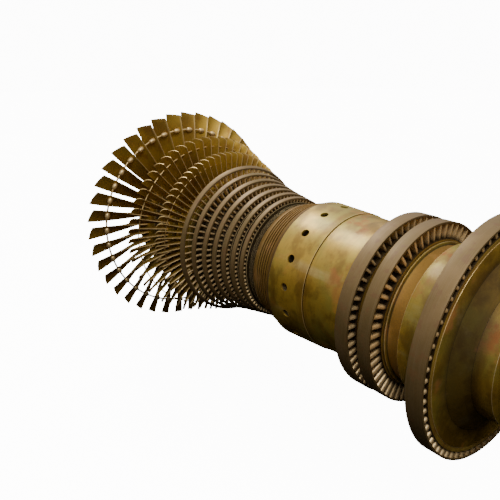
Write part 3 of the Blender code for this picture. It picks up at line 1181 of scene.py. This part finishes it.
    def build(self, rows: list[FreeRow], steel: bpy.types.Material) -> bpy.types.Object:
        """Make the forging.

        Args:
            rows: the free-standing rows that its discs carry.
            steel: the finish.

        Returns:
            The piece.
        """
        outline = self.exhaust_end_outline()
        for row in rows:
            outline += self.disc_outline(row)
        outline += self.drum_outline() + self.seal_outline()
        outline += self.smooth_outline() + self.inlet_end_outline()
        item = turned(Form(), outline, 0.0025, closed=False).finished("forging_dressed", steel)
        bore(item, self.hole_cutter(steel))
        return settle(item, Slot.FORGING, "rotor_forging")


@dataclass
class Coupling:
    """The coupling hub and the thrust collar of the inlet end."""

    radius: float = 0.260
    thickness: float = 0.085
    hub_radius: float = 0.178
    length: float = 0.190
    bore: float = 0.1253
    holes: int = 12
    hole_radius: float = 0.021
    hole_circle: float = 0.218
    collar_radius: float = 0.210
    collar_x: tuple[float, float] = (-0.330, -0.270)
    collar_bore: float = 0.1403
    face: float = -LAST_ROW_X

    def hub_outline(self) -> Outline:
        """Outline the flange and the hub.

        Returns:
            The (place, radius) corners.
        """
        face = self.face
        return [
            (face, self.radius),
            (face - self.thickness, self.radius),
            (face - self.thickness, self.hub_radius + 0.010),
            (face - self.thickness - 0.010, self.hub_radius),
            (face - self.length, self.hub_radius),
            (face - self.length, self.bore),
            (face, self.bore),
        ]

    def build(self, steel: bpy.types.Material) -> None:
        """Make the hub with its bolt holes, and the collar.

        Args:
            steel: the finish.
        """
        hub = turned(Form(), self.hub_outline(), 0.004).finished("coupling_dressed", steel)
        form = Form()
        places = (self.face - self.thickness * 1.5, self.face + self.thickness * 0.5)
        side, height = Vector((0.0, self.hole_radius, 0.0)), Vector((0.0, 0.0, self.hole_radius))
        for index in range(self.holes):
            angle = math.tau * (index + 0.5) / self.holes
            middles = [on_rotor(place, self.hole_circle, angle) for place in places]
            form.loft([ring(middle, side, height, 24) for middle in middles])
        bore(hub, form.finished("bolt_holes", steel))
        settle(hub, Slot.COUPLING, "coupling_hub")
        far_x, near_x = (self.face + place for place in self.collar_x)
        outline = [(near_x, self.collar_radius), (far_x, self.collar_radius)]
        outline += [(far_x, self.collar_bore), (near_x, self.collar_bore)]
        collar = turned(Form(), outline, 0.004).finished("thrust_collar_dressed", steel)
        settle(collar, Slot.COUPLING, "thrust_collar")


@dataclass(frozen=True)
class Lamp:
    """One soft square light."""

    name: str
    place: Point
    aim: Point
    size: float
    power: float
    tint: Colour

    def hang(self) -> None:
        """Hang the light, turned to what it lights."""
        data = bpy.data.lights.new(self.name, "AREA")
        data.energy = self.power
        data.size = self.size
        data.color = self.tint
        item = bpy.data.objects.new(self.name, data)
        item.location = self.place
        way = Vector(self.aim) - Vector(self.place)
        item.rotation_euler = way.to_track_quat("-Z", "Y").to_euler()
        bpy.context.scene.collection.objects.link(item)


@dataclass
class Studio:
    """Pale floor, soft light and the camera of the photograph."""

    camera_place: Point = (3.6471, -2.2553, 1.2042)
    yaw: float = 51.4387
    pitch: float = 19.2229
    focal_pixels: float = 563.507
    picture_pixels: float = 500.0
    sensor: float = 36.0
    floor_z: float = -1.10
    sky_rise: tuple[float, float] = (-0.10, 0.55)
    sky_tint: Colour = (1.0, 0.985, 0.955)
    sky_strength: float = 1.05
    floor_tints: tuple[Colour, Colour] = ((0.86, 0.86, 0.85), (0.90, 0.90, 0.89))
    glow: float = 14.0
    wall_radius: float = 40.0
    wall_height: float = 16.0
    lamps: tuple[Lamp, ...] = (
        Lamp("skylight", (-4.9, 0.3, 3.8), (-2.6, 0.0, 0.0), 1.6, 150.0, (1.0, 0.98, 0.95)),
        Lamp("front", (-0.4, -2.2, 3.9), (-2.9, 0.0, 0.2), 1.6, 150.0, (1.0, 0.97, 0.92)),
    )

    def camera(self) -> None:
        """Set the camera where the photograph was taken."""
        yaw, pitch = math.radians(self.yaw), math.radians(self.pitch)
        right = Vector((math.cos(yaw), math.sin(yaw), 0.0))
        level = math.cos(pitch)
        back = Vector((math.sin(yaw) * level, -math.cos(yaw) * level, math.sin(pitch)))
        up = back.cross(right)
        data = bpy.data.cameras.new("camera")
        data.sensor_width = self.sensor
        data.lens = self.focal_pixels / self.picture_pixels * self.sensor
        data.clip_end = 200.0
        item = bpy.data.objects.new("camera", data)
        place = Matrix((right, up, back)).transposed().to_4x4()
        place.translation = Vector(self.camera_place) + Vector((LAST_ROW_X, 0.0, 0.0))
        item.matrix_world = place
        bpy.context.scene.collection.objects.link(item)
        bpy.context.scene.camera = item

    def floor(self) -> None:
        """Lay the pale floor, with a pale wall far around it."""
        form = Form()
        sides = 64
        side, depth = Vector((self.wall_radius, 0.0, 0.0)), Vector((0.0, self.wall_radius, 0.0))
        for height in (self.floor_z, self.floor_z + self.wall_height):
            form.add(ring((0.0, 0.0, height), side, depth, sides))
        form.faces.append(tuple(range(sides)))
        form.strip(0, sides, sides)
        shader = Shader("pale_floor")
        tint = shader.blend(shader.noise(0.6, 2.0), *self.floor_tints)
        item = form.finished("floor", shader.dress(
            base_color=tint,
            roughness=0.9,
            emission_color=tint,
            emission_strength=self.glow,
        ))
        item.visible_diffuse = False
        item.visible_glossy = False
        item.visible_shadow = False

    def world(self) -> None:
        """Give a pale surround that is dim from below."""
        sky = Shader("studio", surround=True)
        way = sky.node("ShaderNodeTexCoord").outputs["Generated"]
        height = Value(sky, sky.node("ShaderNodeSeparateXYZ", inputs={0: way}).outputs["Z"])
        colour = sky.blend(height.rise(*self.sky_rise), (0.0, 0.0, 0.0), self.sky_tint)
        bpy.context.scene.world = sky.dress(color=colour, strength=self.sky_strength)

    def build(self) -> None:
        """Set the whole studio."""
        self.camera()
        self.floor()
        self.world()
        for lamp in self.lamps:
            lamp.hang()


def free_rows() -> list[FreeRow]:
    """Size the three free-standing rows.

    Returns:
        The rows, from the exhaust end.
    """
    last = Blading(
        39,
        86.55,
        (
            Station(0.362, -0.040, 0.092, 0.026, 0.026, 0.024, 0.009, 0.004),
            Station(0.530, -0.025, 0.078, 0.062, 0.020, 0.014, 0.007, 0.003),
            Station(0.680, -0.012, 0.058, 0.087, 0.012, 0.009, 0.006, 0.0025),
            Station(0.800, 0.000, 0.042, 0.0965, 0.006, 0.005, 0.004, 0.002),
        ),
        tip_drop=0.020,
        tip_wear_and_light=0.35,
        edge_wear_and_light=0.8,
    )
    third = Blading(
        58,
        104.15,
        (
            Station(0.374, 0.296, 0.392, 0.015, 0.018, 0.018, 0.007, 0.003),
            Station(0.520, 0.308, 0.388, 0.034, 0.015, 0.012, 0.006, 0.003),
            Station(0.655, 0.324, 0.381, 0.0456, 0.013, 0.006, 0.004, 0.003),
        ),
        tip_drop=0.020,
        tip_curve=2.2,
        tip_wear_and_light=0.6,
    )
    second = Blading(
        72,
        108.885,
        (
            Station(0.377, 0.516, 0.598, 0.013, 0.014, 0.014, 0.006, 0.003),
            Station(0.470, 0.528, 0.594, 0.024, 0.012, 0.010, 0.005, 0.003),
            Station(0.573, 0.540, 0.588, 0.0346, 0.010, 0.007, 0.005, 0.003),
        ),
        tip_drop=0.015,
        tip_curve=2.2,
        tip_wear_and_light=0.7,
    )
    last_wire = LacingWire("last_stage_wire", 0.031, 0.6715, 0.013, boss=(0.036, 0.050))
    third_wire = LacingWire("third_row_wire", 0.340, 0.583, 0.0085)
    second_wire = LacingWire("second_row_wire", 0.548, 0.503, 0.007)
    return [
        FreeRow("last_stage_blades", last, (-0.050, 0.125), 0.375, 0.034, last_wire),
        FreeRow("third_row_blades", third, (0.284, 0.404), 0.385, 0.030, third_wire),
        FreeRow("second_row_blades", second, (0.502, 0.612), 0.387, 0.028, second_wire),
    ]


def shrouded_rows(forging: Forging) -> list[ShroudedRow]:
    """Size the seven drum rows and the three wheel rows.

    Args:
        forging: the forging whose rims carry them.

    Returns:
        The rows, from the exhaust end.
    """
    rows = []
    counts = (66, 70, 73, 76, 80, 84, 87)
    tapers = (0.0124, 0.0083, 0.009, 0.0065, 0.0062, 0.0054, 0.005)
    for index, (_, _, root) in enumerate(forging.drum_rows):
        name = f"drum_row_{index + 1}"
        rows.append(ShroudedRow(
            name + "_blades",
            name + "_shroud",
            counts[index],
            root,
            reach=0.010,
            bow=0.004,
            thickness=0.009 if index == 0 else 0.011,
            nose=0.008 if index == 0 else 0.010,
            taper=tapers[index],
            inset=0.002,
        ))
    wheels = (
        ("first_wheel", 58, 0.398, 0.014, 0.010, 0.020, 0.014),
        ("second_wheel", 56, 0.378, 0.016, 0.010, 0.023, 0.018),
        ("control_wheel", 70, 0.533, 0.010, 0.006, 0.022, 0.018),
    )
    for name, *sizes in wheels:
        rows.append(ShroudedRow(name + "_blades", name + "_shroud", *sizes, rim_depth=0.022))
    return rows


def main() -> None:
    """Build the rotor and its studio, and note the sizes."""
    logging.basicConfig(level=logging.INFO, format="%(message)s")
    Studio().build()
    wire_steel = BladeSteel("wire_steel", golden=(0.50, 0.38, 0.18), count=1).material()
    band = ShroudSteel().material()
    rows = free_rows()
    for row in rows:
        steel = BladeSteel(row.node + "_steel", count=row.blading.count).material()
        row.build(steel, wire_steel)
    forging = Forging()
    forging.build(rows, VarnishedForging().material())
    for row in shrouded_rows(forging):
        row.build(band)
    Coupling().build(MachinedSteel().material())


if __name__ == "__main__":
    main()
